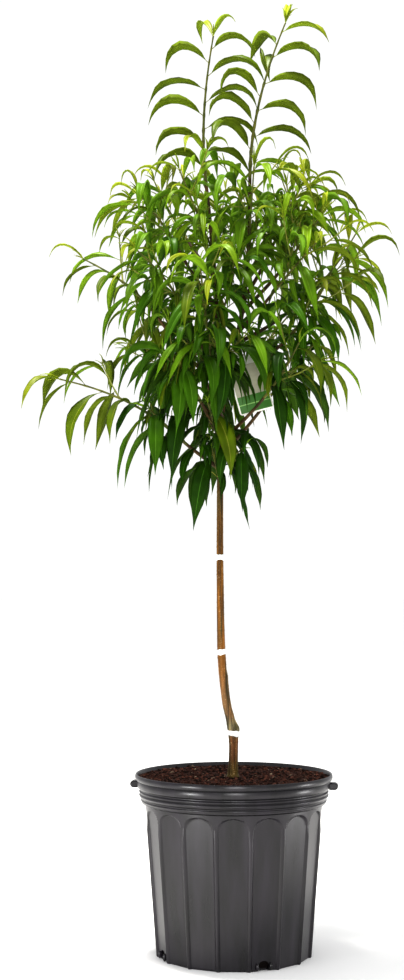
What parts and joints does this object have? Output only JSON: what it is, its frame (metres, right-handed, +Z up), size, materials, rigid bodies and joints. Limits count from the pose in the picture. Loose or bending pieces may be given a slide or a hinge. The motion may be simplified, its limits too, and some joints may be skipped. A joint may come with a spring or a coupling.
{
  "type": "potted peach tree",
  "caption": "Young peach tree with a slender trunk, a tapering crown of long drooping leaves, and a black nursery pot that it stands in.",
  "frame": {"origin": "middle of the pot's flat underside", "axes": "+Z up along the tree, -Y towards the side that the picture shows"},
  "size_m": [0.5834, 0.4703, 1.4854],
  "materials": {
    "pot_plastic": "moulded black plastic, satin",
    "potting_mix": "moist crumbled bark",
    "bark": "smooth young bark, greenish brown",
    "leaf": "living leaf, half glossy above",
    "tape": "soft white nursery tape",
    "tag_card": "matt plastic card with a plain green band"
  },
  "bodies": {
    "root": {"bough_back_low": "bark", "bough_back_low_left": "bark", "bough_back_low_right": "bark", "bough_front_left": "bark", "bough_front_low": "bark", "bough_front_low_left": "bark", "bough_front_low_right": "bark", "bough_front_right": "bark", "bough_leader_left": "bark", "bough_leader_right": "bark", "bough_left_back": "bark", "bough_low_left": "bark", "bough_low_right": "bark", "bough_mid_left": "bark", "bough_mid_left_front": "bark", "bough_mid_right": "bark", "bough_mid_right_front": "bark", "bough_up_left": "bark", "bough_up_left_back": "bark", "bough_up_right": "bark", "bough_up_right_back": "bark", "bough_up_right_front": "bark", "leaves_back_low": "leaf", "leaves_back_low_left": "leaf", "leaves_back_low_right": "leaf", "leaves_front_left": "leaf", "leaves_front_low": "leaf", "leaves_front_low_left": "leaf", "leaves_front_low_right": "leaf", "leaves_front_middle": "leaf", "leaves_front_right": "leaf", "leaves_leader_left": "leaf", "leaves_leader_right": "leaf", "leaves_left_back": "leaf", "leaves_low_left": "leaf", "leaves_low_right": "leaf", "leaves_mid_left": "leaf", "leaves_mid_left_front": "leaf", "leaves_mid_right": "leaf", "leaves_mid_right_front": "leaf", "leaves_spur_back": "leaf", "leaves_spur_front": "leaf", "leaves_spur_left": "leaf", "leaves_spur_low_left": "leaf", "leaves_spur_right": "leaf", "leaves_up_back": "leaf", "leaves_up_front": "leaf", "leaves_up_left": "leaf", "leaves_up_left_back": "leaf", "leaves_up_left_front": "leaf", "leaves_up_right": "leaf", "leaves_up_right_back": "leaf", "leaves_up_right_front": "leaf", "pot": "pot_plastic", "potting_mix": "potting_mix", "tag": "tag_card", "tape_1": "tape", "tape_2": "tape", "tape_3": "tape", "trunk": "bark"}
  },
  "joints": []
}
